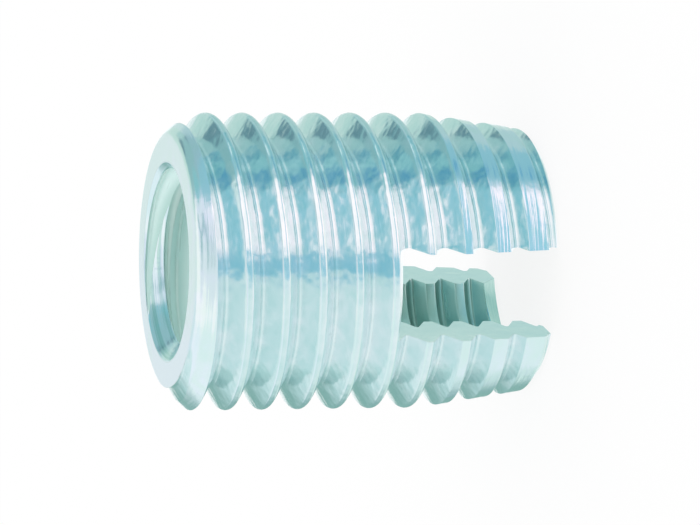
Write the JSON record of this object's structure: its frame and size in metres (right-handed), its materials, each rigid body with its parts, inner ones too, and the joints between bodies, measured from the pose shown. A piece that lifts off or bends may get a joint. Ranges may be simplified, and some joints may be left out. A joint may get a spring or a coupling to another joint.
{
  "type": "self-cutting threaded insert",
  "caption": "Headless self-cutting threaded insert: a sleeve with a coarse outside thread, a tapped bore, and a tapered end cut across by a slot.",
  "frame": {"origin": "on the axis, at the cutting end that the insert stands on", "axes": "+Z along the axis, from the slotted cutting end to the mouth of the bore; the slot runs along Y"},
  "size_m": [0.012, 0.012, 0.0149],
  "materials": {
    "zinc_plated_steel": "bright bluish zinc plating on machined steel"
  },
  "bodies": {
    "root": {"threaded_insert": "zinc_plated_steel"}
  },
  "joints": []
}
